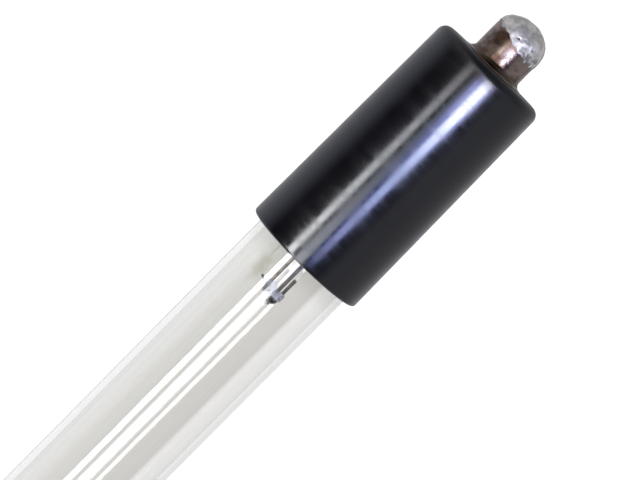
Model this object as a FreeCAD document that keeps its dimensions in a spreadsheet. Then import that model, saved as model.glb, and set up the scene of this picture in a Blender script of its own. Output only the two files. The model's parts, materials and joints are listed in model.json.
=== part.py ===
import FreeCAD, Part
import math
import os
import re
import Sketcher

# Germicidal discharge lamp: a straight T5 tube of fused quartz with one cap and one
# contact at each end. It lies along X with its middle at the origin. End "a" is at +X.
# Everything of an end is drawn in that end's own frame, where x = 0 is the flat outer
# face of the cap and +x points out of the lamp, and is then placed at both ends.

SIZES = (
    ("length_over_faces", 286.6, "outer face of one cap to outer face of the other"),
    ("glass_diameter", 16.0, "outside of the quartz tube, T5"),
    ("glass_wall", 1.0, "wall of the quartz tube"),
    ("cap_length", 36.7, "mouth of the cap to its outer face"),
    ("cap_wall", 1.225, "wall of the cap at its mouth"),
    ("cap_draft_angle", 0.66, "degrees that the cap narrows towards its face"),
    ("cap_corner_radius", 1.45, "rounding between the cap's side and its face"),
    ("cap_rim_chamfer", 0.3, "broken edges of the cap's mouth"),
    ("cap_floor", 3.0, "thickness of the cap's closed end"),
    ("cement_gap", 0.3, "cement between the tube and the cap's bore"),
    ("cement_recess", 1.5, "cement starts this far inside the mouth"),
    ("cement_length", 9.0, "length of the ring of cement"),
    ("contact_diameter", 8.0, "barrel of the contact"),
    ("contact_height", 8.2, "cap's face to the tip of the solder"),
    ("flange_overhang", 1.05, "flange past the barrel, on the radius"),
    ("flange_edge", 0.2, "thickness of the flange at its edge"),
    ("flare_height", 1.0, "cap's face to the end of the flare"),
    ("flare_radius", 1.0, "hollow curve from flange to barrel"),
    ("shank_step", 0.8, "shank under the barrel, on the radius"),
    ("shank_clearance", 0.1, "shank in the hole of the cap, on the radius"),
    ("contact_wall", 0.6, "wall of the shank"),
    ("drill_point", 118.0, "degrees across the end of the contact's bore"),
    ("crown_wall", 0.9, "metal left at the contact's crown"),
    ("crown_flat", 4.0, "flat of the contact's crown, across"),
    ("lead_hole", 2.0, "hole in the crown for the lead wires"),
    ("rivet_thickness", 0.4, "rim rolled over inside the cap"),
    ("rivet_overhang", 0.7, "rolled rim past the shank, on the radius"),
    ("washer_thickness", 0.5, "washer under the rolled rim"),
    ("washer_width", 1.8, "washer past the shank, on the radius"),
    ("dome_height", 3.25, "height of the rounded tip"),
    ("dome_shoulder", 2.9, "radius where the tip leaves the barrel"),
    ("solder_skin", 0.25, "solder at the barrel"),
    ("solder_crown", 0.7, "solder over the crown"),
    ("solder_cuff", 0.45, "solder below the start of the dome"),
    ("lead_cover", 0.6, "solder over the ends of the leads"),
    ("pinch_setback", 3.5, "pinch seal to the floor of the cap"),
    ("pinch_length", 12.0, "flat length of the pinch seal"),
    ("pinch_width", 14.0, "width of the pinch seal"),
    ("pinch_thickness", 3.2, "thickness of the pinch seal"),
    ("press_length", 6.0, "round tube to flat seal"),
    ("press_shoulder", 0.8, "step where the glass runs into the flat seal"),
    ("foil_length", 8.0, "molybdenum foil in the seal"),
    ("foil_width", 2.0, "width of the foil"),
    ("foil_thickness", 0.1, "thickness of the foil, drawn thicker than the real one"),
    ("weld_overlap", 1.5, "lead on the foil"),
    ("weld_sink", 0.03, "flat that the weld presses on the lead"),
    ("lead_diameter", 0.5, "lead wires, inner and outer"),
    ("lead_spacing", 3.8, "between the two leads in the seal"),
    ("lead_gather", 0.9, "between the two leads in the contact"),
    ("lead_stub", 1.0, "straight lead outside the seal"),
    ("lead_slope", 8.0, "length over which the leads draw together"),
    ("electrode_reach", 7.4, "tips of the hooks past the mouth of the cap"),
    ("hook_radius", 0.4, "fold of the inner lead around the coil's tail"),
    ("hook_leg", 4.0, "folded leg of the inner lead"),
    ("clamp_length", 1.2, "sleeve that closes the fold"),
    ("clamp_wall", 0.12, "sheet of that sleeve"),
    ("clamp_clearance", 0.02, "sleeve around the two legs"),
    ("clamp_setback", 0.1, "sleeve to the coil's tail"),
    ("coil_radius", 0.55, "electrode coil to the middle of its wire"),
    ("coil_wire", 0.3, "wire of the coil with its oxide coating"),
    ("coil_pitch", 0.55, "one turn of the coil"),
    ("coil_turns", 5.0, "turns of the coil"),
    ("tail_wire", 0.2, "bare tails of the coil"),
    ("tail_overhang", 0.15, "coil's tail past the inner lead"),
    ("bead_diameter", 1.2, "drop of mercury"),
    ("bead_place", 62.0, "drop of mercury from the middle of the lamp"),
    ("bead_clearance", 0.01, "drop of mercury above the glass"),
)

doc = FreeCAD.newDocument("germicidal_lamp")
sheet = doc.addObject("Spreadsheet::Sheet", "Sizes")
for row, (alias, value, note) in enumerate(SIZES, start=1):
    sheet.set(f"A{row}", alias)
    sheet.set(f"B{row}", str(value))
    sheet.set(f"C{row}", note)
    sheet.setAlias(f"B{row}", alias)
doc.recompute()

ALIASES = re.compile(r"\b(" + "|".join(alias for alias, _, _ in SIZES) + r")\b")
ORIGIN, ORIGIN_POINT = -1, 1
H_AXIS, V_AXIS = -1, -2
START, END, CENTRE = 1, 2, 3
HALF_TURN = 180.0
WIRE_FLATS = 6
SAME_PLACE = 1e-6

pieces = {}


def bound(text):
    """The same formula with every size read from the spreadsheet."""
    return ALIASES.sub(r"Sizes.\1", text)


def number(text):
    """What a formula of sizes comes to, in millimetres or plain."""
    result = sheet.evalExpression(bound(text))
    return float(getattr(result, "Value", result))


# Formulas that several pieces share, in the frame of one end.
BORE_RADIUS = "(glass_diameter / 2 + cement_gap)"
MOUTH_RADIUS = f"({BORE_RADIUS} + cap_wall)"
FACE_RADIUS = f"({MOUTH_RADIUS} - cap_length * tan(cap_draft_angle * 1 deg))"
BARREL_RADIUS = "(contact_diameter / 2)"
SHANK_RADIUS = f"({BARREL_RADIUS} - shank_step)"
CONTACT_BORE = f"({SHANK_RADIUS} - contact_wall)"
RIVET_FACE = "(cap_floor + washer_thickness)"
DOME_START = "(contact_height - dome_height)"
SOLDER_START = f"({DOME_START} - solder_cuff)"
SEAT_RADIUS = f"({BARREL_RADIUS} - solder_skin)"
CROWN_FACE = "(contact_height - solder_crown)"
CROWN_RADIUS = "(crown_flat / 2)"
HOLE_RADIUS = "(lead_hole / 2)"
BORE_TIP = f"({CROWN_FACE} - crown_wall)"
PINCH_END = "(cap_floor + pinch_setback)"
PINCH_ROOT = f"({PINCH_END} + pinch_length)"
ROUND_END = f"({PINCH_ROOT} + press_length)"
FOIL_OUTER = f"({PINCH_END} + (pinch_length - foil_length) / 2)"
FOIL_INNER = f"({FOIL_OUTER} + foil_length)"
LEAD_RADIUS = "(lead_diameter / 2)"
LEAD_HEIGHT = f"(foil_thickness / 2 + {LEAD_RADIUS} - weld_sink)"
HOOK_TIP = "(cap_length + electrode_reach)"
EYE_DEPTH = f"({HOOK_TIP} - {LEAD_RADIUS} - hook_radius)"
EYE_HEIGHT = f"({LEAD_HEIGHT} - hook_radius)"


def plane(body, role):
    return next(item for item in body.Origin.OriginFeatures if item.Role == role)


def sketch_on(body, role, name, offset="0"):
    """A sketch on one of the body's own planes, moved along that plane's normal."""
    sketch = body.newObject("Sketcher::SketchObject", name)
    sketch.AttachmentSupport = [(plane(body, role), "")]
    sketch.MapMode = "FlatFace"
    sketch.setExpression("AttachmentOffset.Base.z", bound(offset))
    return sketch


def pin_point(sketch, geometry, point, across, up):
    """Holds a point of the sketch at a place given by two formulas."""
    for kind, axis, text in (("DistanceX", V_AXIS, across), ("DistanceY", H_AXIS, up)):
        if text == "0":
            sketch.addConstraint(Sketcher.Constraint("PointOnObject", geometry, point, axis))
            continue
        held = Sketcher.Constraint(kind, ORIGIN, ORIGIN_POINT, geometry, point, number(text))
        sketch.setExpression(f"Constraints[{sketch.addConstraint(held)}]", bound(text))


def arc_between(start, end, radius, turn):
    """The short arc from start to end; turn is 1 anticlockwise and -1 clockwise."""
    chord = end - start
    aside = FreeCAD.Vector(-chord.y, chord.x, 0).normalize() * turn
    rise = math.sqrt(max(radius ** 2 - (chord.Length / 2) ** 2, 0))
    middle = start + chord / 2 + aside * (rise - radius)
    first, last = (start, end) if turn > 0 else (end, start)
    return Part.Arc(first, middle, last)


def draw(sketch, corners, closed=True):
    """Lines and arcs through the corners. A corner is (across, up), and
    (across, up, radius, turn) where an arc leads from it to the next one."""
    spots = [FreeCAD.Vector(number(corner[0]), number(corner[1]), 0) for corner in corners]
    count = len(corners) if closed else len(corners) - 1
    ends = []
    for index in range(count):
        start, end = spots[index], spots[(index + 1) % len(spots)]
        across, up, *bend = corners[index]
        if bend:
            radius, turn = bend
            edge = sketch.addGeometry(arc_between(start, end, number(radius), turn))
            held = Sketcher.Constraint("Radius", edge, number(radius))
            sketch.setExpression(f"Constraints[{sketch.addConstraint(held)}]", bound(radius))
            ends.append((edge, START, END) if turn > 0 else (edge, END, START))
        else:
            edge = sketch.addGeometry(Part.LineSegment(start, end))
            ends.append((edge, START, END))
        pin_point(sketch, edge, ends[-1][1], across, up)
    for index, (edge, _, last) in enumerate(ends):
        if closed or index + 1 < len(ends):
            following, first, _ = ends[(index + 1) % len(ends)]
            sketch.addConstraint(Sketcher.Constraint("Coincident", edge, last, following, first))
        else:
            pin_point(sketch, edge, last, *corners[-1][:2])


def draw_circle(sketch, across, up, radius):
    centre = FreeCAD.Vector(number(across), number(up), 0)
    normal = FreeCAD.Vector(0, 0, 1)
    circle = sketch.addGeometry(Part.Circle(centre, normal, number(radius)))
    pin_point(sketch, circle, CENTRE, across, up)
    held = Sketcher.Constraint("Radius", circle, number(radius))
    sketch.setExpression(f"Constraints[{sketch.addConstraint(held)}]", bound(radius))


def new_body(label):
    body = doc.addObject("PartDesign::Body", label)
    body.Label = label
    return body


def turned(label, corners):
    """A piece turned about the lamp's axis from its half section."""
    body = new_body(label)
    section = sketch_on(body, "XY_Plane", f"{label}_section")
    draw(section, corners)
    revolution = body.newObject("PartDesign::Revolution", f"{label}_turned")
    revolution.Profile = section
    revolution.ReferenceAxis = (section, ["H_Axis"])
    revolution.Angle = 360.0
    section.Visibility = False
    doc.recompute()
    return body


def dress_rims(body, kind, size_name, name, size, rims):
    """Fillet or chamfer on the circular edges at the given (x, radius) places."""
    base = body.Tip
    chosen = []
    for index, edge in enumerate(base.Shape.Edges, start=1):
        if not isinstance(edge.Curve, Part.Circle):
            continue
        for across, rim in rims:
            same_place = abs(edge.Curve.Center.x - number(across)) < SAME_PLACE
            if same_place and abs(edge.Curve.Radius - number(rim)) < SAME_PLACE:
                chosen.append(f"Edge{index}")
    dressed = body.newObject(kind, name)
    dressed.Base = (base, chosen)
    dressed.setExpression(size_name, bound(size))
    doc.recompute()


def swept_wire(label, path_plane, path, start, centre, radius, offset="0"):
    """Round wire along a path. start is the place of its first face along X, and
    centre gives that face's middle as (y, z)."""
    body = new_body(label)
    spine = sketch_on(body, path_plane, f"{label}_path", offset)
    draw(spine, path, closed=False)
    section = sketch_on(body, "YZ_Plane", f"{label}_section", start)
    draw_circle(section, *centre, radius)
    doc.recompute()
    pipe = body.newObject("PartDesign::AdditivePipe", f"{label}_swept")
    pipe.Profile = section
    pipe.Spine = (spine, [f"Edge{index + 1}" for index in range(len(path) - 1)])
    doc.recompute()
    return body


def boolean(kind, label, base, tool):
    """What is left of base where it is cut by tool."""
    result = doc.addObject(kind, label)
    result.Label = label
    result.Base = base
    result.Tool = tool
    doc.recompute()
    return result


def fused(label, shapes):
    result = doc.addObject("Part::MultiFuse", label)
    result.Label = label
    result.Shapes = shapes
    doc.recompute()
    return result


def place_at_end(item, end, aside="0"):
    """Moves a piece from the end's frame to end a, or turned about Z to end b."""
    facing = 1 if end == "a" else -1
    turn = 0.0 if end == "a" else HALF_TURN
    item.Placement = FreeCAD.Placement(
        FreeCAD.Vector(), FreeCAD.Rotation(FreeCAD.Vector(0, 0, 1), turn))
    item.setExpression("Placement.Base.x", bound(f"{facing} * length_over_faces / 2"))
    item.setExpression("Placement.Base.y", bound(f"{facing} * ({aside})"))
    return item


def keep(item, label):
    """Names a finished piece, which becomes one node of the model."""
    item.Label = label
    pieces[label] = item
    return item


def dome_corners():
    """The solder's blunt round end, from the barrel inwards: a shoulder arc that runs
    into a crown arc, whose radius follows from the height and the shoulder."""
    radius, height, shoulder = BARREL_RADIUS, "dome_height", "dome_shoulder"
    spare = f"({radius}^2 + {height}^2 - 2 * {radius} * {shoulder})"
    crown = f"({spare} / (2 * ({height} - {shoulder})))"
    share = f"({crown} - {shoulder})"
    meet_x = f"({DOME_START} + {shoulder} * ({crown} - {height}) / {share})"
    meet_r = f"(({radius} - {shoulder}) * {crown} / {share})"
    return ((DOME_START, radius, shoulder, -1), (meet_x, meet_r, crown, -1))


def end_cap(end):
    """Moulded phenolic cup with a little draft, a flat face and a hole for the contact."""
    hole = f"({SHANK_RADIUS} + shank_clearance)"
    cap = turned(f"end_cap_{end}", (
        ("-cap_length", BORE_RADIUS),
        ("-cap_floor", BORE_RADIUS),
        ("-cap_floor", hole),
        ("0", hole),
        ("0", FACE_RADIUS),
        ("-cap_length", MOUTH_RADIUS),
    ))
    dress_rims(cap, "PartDesign::Fillet", "Radius", f"cap_corner_{end}", "cap_corner_radius",
               (("0", FACE_RADIUS),))
    dress_rims(cap, "PartDesign::Chamfer", "Size", f"cap_rim_{end}", "cap_rim_chamfer",
               (("-cap_length", MOUTH_RADIUS), ("-cap_length", BORE_RADIUS)))
    keep(place_at_end(cap, end), f"end_cap_{end}")


def basing_cement(end):
    """Ring of cement that holds the cap on the tube."""
    outer_end = "-(cap_length - cement_recess)"
    inner_end = "-(cap_length - cement_recess - cement_length)"
    ring = turned(f"basing_cement_{end}", (
        (outer_end, "glass_diameter / 2"),
        (inner_end, "glass_diameter / 2"),
        (inner_end, BORE_RADIUS),
        (outer_end, BORE_RADIUS),
    ))
    keep(place_at_end(ring, end), f"basing_cement_{end}")


def contact(end):
    """Turned contact: flange on the cap's face, flare, barrel, tapered crown with a hole
    for the leads, and a hollow shank whose rim is rolled over a washer inside the cap."""
    flange_radius = f"({BARREL_RADIUS} + flange_overhang)"
    rivet_radius = f"({SHANK_RADIUS} + rivet_overhang)"
    shank_end = f"-({RIVET_FACE} + rivet_thickness)"
    cone = f"(({CONTACT_BORE} - {HOLE_RADIUS}) / tan(drill_point / 2 * 1 deg))"
    pin = turned(f"contact_{end}", (
        (shank_end, CONTACT_BORE),
        (shank_end, rivet_radius),
        (f"-{RIVET_FACE}", rivet_radius),
        (f"-{RIVET_FACE}", SHANK_RADIUS),
        ("0", SHANK_RADIUS),
        ("0", flange_radius),
        ("flange_edge", flange_radius, "flare_radius", 1),
        ("flare_height", BARREL_RADIUS),
        (SOLDER_START, BARREL_RADIUS),
        (SOLDER_START, SEAT_RADIUS),
        (DOME_START, SEAT_RADIUS),
        (CROWN_FACE, CROWN_RADIUS),
        (CROWN_FACE, HOLE_RADIUS),
        (BORE_TIP, HOLE_RADIUS),
        (f"({BORE_TIP} - {cone})", CONTACT_BORE),
    ))
    keep(place_at_end(pin, end), f"contact_{end}")


def contact_washer(end):
    """Flat washer between the cap's floor and the rolled rim."""
    inner = f"({SHANK_RADIUS} + shank_clearance)"
    outer = f"({SHANK_RADIUS} + washer_width)"
    washer = turned(f"contact_washer_{end}", (
        (f"-{RIVET_FACE}", inner),
        ("-cap_floor", inner),
        ("-cap_floor", outer),
        (f"-{RIVET_FACE}", outer),
    ))
    keep(place_at_end(washer, end), f"contact_washer_{end}")


def solder_tip(end, leads):
    """Solder over the crown, run into its hole around the two leads."""
    blank = turned(f"solder_blank_{end}", (
        (SOLDER_START, SEAT_RADIUS),
        (SOLDER_START, BARREL_RADIUS),
        *dome_corners(),
        ("contact_height", "0"),
        (BORE_TIP, "0"),
        (BORE_TIP, HOLE_RADIUS),
        (CROWN_FACE, HOLE_RADIUS),
        (CROWN_FACE, CROWN_RADIUS),
        (DOME_START, SEAT_RADIUS),
    ))
    place_at_end(blank, end)
    tip = boolean("Part::Cut", f"solder_tip_{end}", blank, fused(f"leads_in_solder_{end}", leads))
    keep(tip, f"solder_tip_{end}")


def seal_foil(end, number_in_seal, side):
    """Molybdenum foil that carries the current through the pinch seal."""
    label = f"seal_foil_{number_in_seal}_{end}"
    body = new_body(label)
    outline = sketch_on(body, "XY_Plane", f"{label}_outline", "-foil_thickness / 2")
    draw(outline, (
        (f"-{FOIL_INNER}", "-foil_width / 2"),
        (f"-{FOIL_OUTER}", "-foil_width / 2"),
        (f"-{FOIL_OUTER}", "foil_width / 2"),
        (f"-{FOIL_INNER}", "foil_width / 2"),
    ))
    pad = body.newObject("PartDesign::Pad", f"{label}_pad")
    pad.Profile = outline
    pad.setExpression("Length", bound("foil_thickness"))
    doc.recompute()
    return keep(place_at_end(body, end, f"{side} * lead_spacing / 2"), label)


def outer_lead(end, number_in_seal, side, foil):
    """Lead from the foil to the solder: straight out of the seal, then in a flat S to
    the middle of the contact. Its end on the foil has the flat of the weld."""
    label = f"outer_lead_{number_in_seal}_{end}"
    wide = f"({side} * lead_spacing / 2)"
    narrow = f"({side} * lead_gather / 2)"
    start = f"(-{FOIL_OUTER} - weld_overlap)"
    slope_start = f"(-{PINCH_END} + lead_stub)"
    slope_end = f"({slope_start} + lead_slope)"
    halfway = f"({slope_start} + lead_slope / 2)"
    drop = "((lead_spacing - lead_gather) / 2)"
    bend = f"((lead_slope^2 + {drop}^2) / (4 * {drop}))"
    wire = swept_wire(f"{label}_wire", "XY_Plane", (
        (start, wide),
        (slope_start, wide, bend, -side),
        (halfway, f"(({wide} + {narrow}) / 2)", bend, side),
        (slope_end, narrow),
        ("(contact_height - lead_cover)", narrow),
    ), start, (wide, LEAD_HEIGHT), LEAD_RADIUS, LEAD_HEIGHT)
    place_at_end(wire, end)
    return keep(boolean("Part::Cut", label, wire, foil), label)


def inner_lead(end, number_in_seal, side, foil):
    """Lead from the foil into the tube. Its tip is folded back on itself as a hook, and
    the fold holds the tail of the coil."""
    label = f"inner_lead_{number_in_seal}_{end}"
    start = f"(-{FOIL_INNER} + weld_overlap)"
    fold = f"-{EYE_DEPTH}"
    low = f"({LEAD_HEIGHT} - 2 * hook_radius)"
    wire = swept_wire(f"{label}_wire", "XZ_Plane", (
        (start, LEAD_HEIGHT),
        (fold, LEAD_HEIGHT, "hook_radius", 1),
        (f"({fold} - hook_radius)", EYE_HEIGHT, "hook_radius", 1),
        (fold, low),
        (f"({fold} + hook_leg)", low),
    ), start, ("0", LEAD_HEIGHT), LEAD_RADIUS)
    place_at_end(wire, end, f"{side} * lead_spacing / 2")
    return keep(boolean("Part::Cut", label, wire, foil), label)


def block(label, length, width, height, start, low):
    """A box along X, centred on Y."""
    box = doc.addObject("Part::Box", label)
    box.setExpression("Length", bound(length))
    box.setExpression("Width", bound(width))
    box.setExpression("Height", bound(height))
    box.setExpression("Placement.Base.x", bound(start))
    box.setExpression("Placement.Base.y", bound(f"-({width}) / 2"))
    box.setExpression("Placement.Base.z", bound(low))
    return box


def coil_clamp(end, number_in_seal, side):
    """Sleeve of thin sheet, pressed flat around the two legs of the hook."""
    label = f"coil_clamp_{number_in_seal}_{end}"
    low = f"({LEAD_HEIGHT} - 2 * hook_radius - {LEAD_RADIUS} - clamp_clearance)"
    height = "(2 * hook_radius + lead_diameter + 2 * clamp_clearance)"
    width = "(lead_diameter + 2 * clamp_clearance)"
    start = f"(-{EYE_DEPTH} + tail_wire / 2 + clamp_setback)"
    outer = block(f"{label}_outer", "clamp_length", f"({width} + 2 * clamp_wall)",
                  f"({height} + 2 * clamp_wall)", start, f"({low} - clamp_wall)")
    inner = block(f"{label}_inner", "clamp_length", width, height, start, low)
    sleeve = boolean("Part::Cut", label, outer, inner)
    keep(place_at_end(sleeve, end, f"{side} * lead_spacing / 2"), label)


def electrode_coil(end):
    """Coated tungsten coil across the tube, with a straight bare tail in each hook. It
    is drawn about its own axis, Y, with the tails on the +X side of it. A few flats
    stand for the round of the wire, which is too fine for its section to show."""
    label = f"electrode_coil_{end}"
    body = new_body(label)
    half = "(coil_pitch * coil_turns / 2)"
    reach = f"(lead_spacing / 2 + {LEAD_RADIUS} + tail_overhang)"
    section = sketch_on(body, "XY_Plane", f"{label}_section")
    wire = "coil_wire / 2"
    corners = []
    for flat in range(WIRE_FLATS):
        angle = f"({2 * HALF_TURN * flat / WIRE_FLATS} * 1 deg)"
        across = f"(coil_radius + {wire} * cos({angle}))"
        corners.append((across, f"(-{half} + {wire} * sin({angle}))"))
    draw(section, corners)
    doc.recompute()
    helix = body.newObject("PartDesign::AdditiveHelix", f"{label}_turns")
    helix.Profile = section
    helix.ReferenceAxis = (section, ["V_Axis"])
    helix.Mode = 0
    helix.setExpression("Pitch", bound("coil_pitch"))
    helix.setExpression("Height", bound("coil_pitch * coil_turns"))
    doc.recompute()
    joint = f"({half} - coil_wire / 4)"
    for name, place, towards in (("low", joint, False), ("high", f"-{joint}", True)):
        tail = sketch_on(body, "XZ_Plane", f"{label}_tail_{name}", place)
        draw_circle(tail, "coil_radius", "0", "tail_wire / 2")
        pad = body.newObject("PartDesign::Pad", f"{label}_tail_{name}_pad")
        pad.Profile = tail
        pad.Reversed = towards
        pad.setExpression("Length", bound(f"{reach} - {joint}"))
        doc.recompute()
    place_at_end(body, end)
    facing = 1 if end == "a" else -1
    depth = f"({EYE_DEPTH} + coil_radius)"
    body.setExpression("Placement.Base.x", bound(f"{facing} * (length_over_faces / 2 - {depth})"))
    body.setExpression("Placement.Base.z", bound(EYE_HEIGHT))
    keep(body, label)


TOWARDS_X = FreeCAD.Rotation(FreeCAD.Vector(1, 1, 1), 120.0)


def along_x(kind, label, sizes, place):
    """A round or oval primitive with its axis on X and its width on Y."""
    item = doc.addObject(kind, label)
    item.Placement = FreeCAD.Placement(FreeCAD.Vector(), TOWARDS_X)
    for prop, text in sizes.items():
        item.setExpression(prop, bound(text))
    item.setExpression("Placement.Base.x", bound(place))
    return item


def pressed_end(label, end, radius, half_width, half_height, depth):
    """Round tube pressed to a flat oval, as a loft between the two sections."""
    facing = 1 if end == "a" else -1
    round_place = f"{facing} * (length_over_faces / 2 - {ROUND_END})"
    flat_place = f"{facing} * (length_over_faces / 2 - {ROUND_END} + {depth})"
    rounded = along_x("Part::Circle", f"{label}_round", {"Radius": radius}, round_place)
    oval = {"MajorRadius": half_width, "MinorRadius": half_height}
    flat = along_x("Part::Ellipse", f"{label}_flat", oval, flat_place)
    loft = doc.addObject("Part::Loft", label)
    loft.Sections = [rounded, flat] if end == "a" else [flat, rounded]
    loft.Solid = True
    doc.recompute()
    return loft


def pinch(end):
    """Flat pinch seal with round edges."""
    body = new_body(f"pinch_{end}")
    outline = sketch_on(body, "YZ_Plane", f"pinch_{end}_outline", f"-{PINCH_ROOT}")
    side = "((pinch_width - pinch_thickness) / 2)"
    round_edge = "pinch_thickness / 2"
    draw(outline, (
        (f"-{side}", f"-{round_edge}"),
        (side, f"-{round_edge}", round_edge, 1),
        ("pinch_width / 2", "0", round_edge, 1),
        (side, round_edge),
        (f"-{side}", round_edge, round_edge, 1),
        ("-pinch_width / 2", "0", round_edge, 1),
    ))
    pad = body.newObject("PartDesign::Pad", f"pinch_{end}_pad")
    pad.Profile = outline
    pad.setExpression("Length", bound("pinch_length"))
    doc.recompute()
    return place_at_end(body, end)


def quartz_tube(seal_metal):
    """One piece of quartz: the tube, and at each end the pinch seal pressed around the
    foils and the ends of the leads."""
    half = f"(length_over_faces / 2 - {ROUND_END})"
    bore = "(glass_diameter / 2 - glass_wall)"
    solids = [along_x("Part::Cylinder", "tube_outside",
                      {"Radius": "glass_diameter / 2", "Height": f"2 * {half}"}, f"-{half}")]
    hollows = [along_x("Part::Cylinder", "tube_inside",
                       {"Radius": bore, "Height": f"2 * {half}"}, f"-{half}")]
    for end in ("a", "b"):
        solids.append(pressed_end(f"press_outside_{end}", end, "glass_diameter / 2",
                                  "(pinch_width / 2 + press_shoulder)",
                                  "(pinch_thickness / 2 + press_shoulder)", "press_length"))
        hollows.append(pressed_end(f"press_inside_{end}", end, bore,
                                   "(pinch_width / 2 - glass_wall)",
                                   "pinch_thickness / 2",
                                   "(press_length - 2 * glass_wall)"))
        solids.append(pinch(end))
    blank = boolean("Part::Cut", "quartz_blank", fused("quartz_solid", solids),
                    fused("quartz_hollow", hollows))
    tube = boolean("Part::Cut", "quartz_tube", blank, fused("seal_metal", seal_metal))
    keep(tube, "quartz_tube")


def mercury_bead():
    """Drop of mercury, lying on the wall of the tube."""
    bead = doc.addObject("Part::Sphere", "mercury_bead")
    bead.setExpression("Radius", bound("bead_diameter / 2"))
    bead.setExpression("Placement.Base.x", bound("bead_place"))
    low = "-(glass_diameter / 2 - glass_wall - bead_diameter / 2 - bead_clearance)"
    bead.setExpression("Placement.Base.z", bound(low))
    keep(bead, "mercury_bead")


seal_metal = []
for end_name in ("a", "b"):
    end_cap(end_name)
    basing_cement(end_name)
    contact(end_name)
    contact_washer(end_name)
    outer_leads = []
    for order, lead_side in ((1, 1), (2, -1)):
        foil_piece = seal_foil(end_name, order, lead_side)
        outer_leads.append(outer_lead(end_name, order, lead_side, foil_piece))
        seal_metal.append(foil_piece)
        seal_metal.append(inner_lead(end_name, order, lead_side, foil_piece))
        coil_clamp(end_name, order, lead_side)
    seal_metal += outer_leads
    solder_tip(end_name, outer_leads)
    electrode_coil(end_name)
quartz_tube(seal_metal)
mercury_bead()
doc.recompute()

for item in doc.Objects:
    if "Invalid" in item.State or "Error" in item.State:
        raise RuntimeError(f"{item.Label} did not build: {item.State}")
for label, item in pieces.items():
    if item.Shape.isNull() or not item.Shape.isValid() or not item.Shape.Solids:
        raise RuntimeError(f"{label} has no sound solid")

os.makedirs("parts", exist_ok=True)
for label, item in pieces.items():
    item.Shape.exportStep(f"parts/{label}.step")
    box = item.Shape.BoundBox
    print(f"{label}: {len(item.Shape.Solids)} solid, {item.Shape.Volume:.3f} mm3, "
          f"x {box.XMin:.2f} to {box.XMax:.2f}, z {box.ZMin:.2f} to {box.ZMax:.2f}")
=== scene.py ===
import json
import math

import bmesh
import bpy
import numpy as np
from mathutils import Matrix, Vector, noise


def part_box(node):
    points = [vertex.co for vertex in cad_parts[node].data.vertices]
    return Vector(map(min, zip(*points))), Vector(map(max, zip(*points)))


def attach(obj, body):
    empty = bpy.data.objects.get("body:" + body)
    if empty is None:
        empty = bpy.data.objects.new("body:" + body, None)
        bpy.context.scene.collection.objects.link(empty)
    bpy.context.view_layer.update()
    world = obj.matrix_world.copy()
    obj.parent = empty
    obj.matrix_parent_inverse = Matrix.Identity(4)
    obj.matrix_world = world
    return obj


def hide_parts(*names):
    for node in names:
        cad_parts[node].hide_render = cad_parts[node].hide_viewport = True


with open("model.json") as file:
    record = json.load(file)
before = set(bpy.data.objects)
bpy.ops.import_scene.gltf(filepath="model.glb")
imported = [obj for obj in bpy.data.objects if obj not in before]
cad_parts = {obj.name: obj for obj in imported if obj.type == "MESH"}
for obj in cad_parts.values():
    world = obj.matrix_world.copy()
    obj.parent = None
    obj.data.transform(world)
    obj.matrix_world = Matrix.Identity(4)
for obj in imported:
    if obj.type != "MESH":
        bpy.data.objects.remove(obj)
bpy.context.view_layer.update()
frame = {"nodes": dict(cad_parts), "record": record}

# A germicidal lamp: a T5 tube of fused quartz with a moulded cap and one round contact at
# each end. It lies along X. Each end has its own frame, in millimetres, where x = 0 is the
# outer face of the cap and +x points out of the lamp. End "a" is at +X.

MM = 0.001

# Sizes read from the frame, in millimetres.
cap_low, cap_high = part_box("end_cap_a")
tip_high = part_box("solder_tip_a")[1]
contact_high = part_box("contact_a")[1]
FACE_PLACE = cap_high.x / MM
CAP_LENGTH = (cap_high.x - cap_low.x) / MM
MOUTH_RADIUS = cap_high.y / MM
CONTACT_HEIGHT = (tip_high.x - cap_high.x) / MM
FLANGE_RADIUS = contact_high.y / MM
BARREL_RADIUS = tip_high.y / MM

# Sizes of the pieces that are modelled here, in millimetres.
CAP_DRAFT = math.tan(math.radians(0.66))
CAP_BORE = 8.3
CAP_FLOOR = 3.0
CAP_HOLE = 3.3
CAP_CORNER = 1.45
MOUTH_ROUNDING = 0.45
BORE_ROUNDING = 0.3
FLOOR_FILLET = 0.5
GLASS_RADIUS = 8.0
GLASS_WALL = 1.0
PINCH_END = 6.5
PINCH_ROOT = 18.5
PRESS_LENGTH = 6.0
PINCH_WIDTH = 14.0
PINCH_THICKNESS = 3.2
PINCH_EDGE = 0.5
BORE_THICKNESS = 1.6
BORE_EDGE = 0.6
SHANK_RADIUS = 3.2
SHANK_END = -CAP_FLOOR - 0.9
RIM_START = -CAP_FLOOR - 0.5
RIM_RADIUS = SHANK_RADIUS + 0.55
RIM_ROUNDING = 0.15
RIM_FOOT = 0.05
CONTACT_BORE = 2.6
LEAD_HOLE = 1.0
FLARE_HEIGHT = 1.0
FLANGE_EDGE = 0.2
DOME_START = 4.95
DOME_SHOULDER = 2.9


def linear(colour):
    """An sRGB colour, written as hex, as the linear values that a shader takes."""
    parts = [int(colour[i:i + 2], 16) / 255 for i in (1, 3, 5)]
    return [*(p / 12.92 if p <= 0.04045 else ((p + 0.055) / 1.055) ** 2.4 for p in parts), 1.0]


# Camera. It stands on the -Y side, a little past the contact, and looks down on the lamp.
# It is rolled, so that the lamp rises to the upper right.
LOOKED_AT = Vector((109.97, 0.0, 0.0)) * MM
LOOKED_ABOVE = 0.215 * MM
CAMERA_DISTANCE = 450.0 * MM
CAMERA_RISE = math.radians(26.4)
CAMERA_ASIDE = math.radians(5.6)
LAMP_RISE_IN_PICTURE = math.radians(45.25)
PICTURE_WIDTH_SEEN = 87.7 * MM
SENSOR_WIDTH = 36.0
NEAREST_SEEN = 10.0 * MM
FURTHEST_SEEN = 20.0


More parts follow.
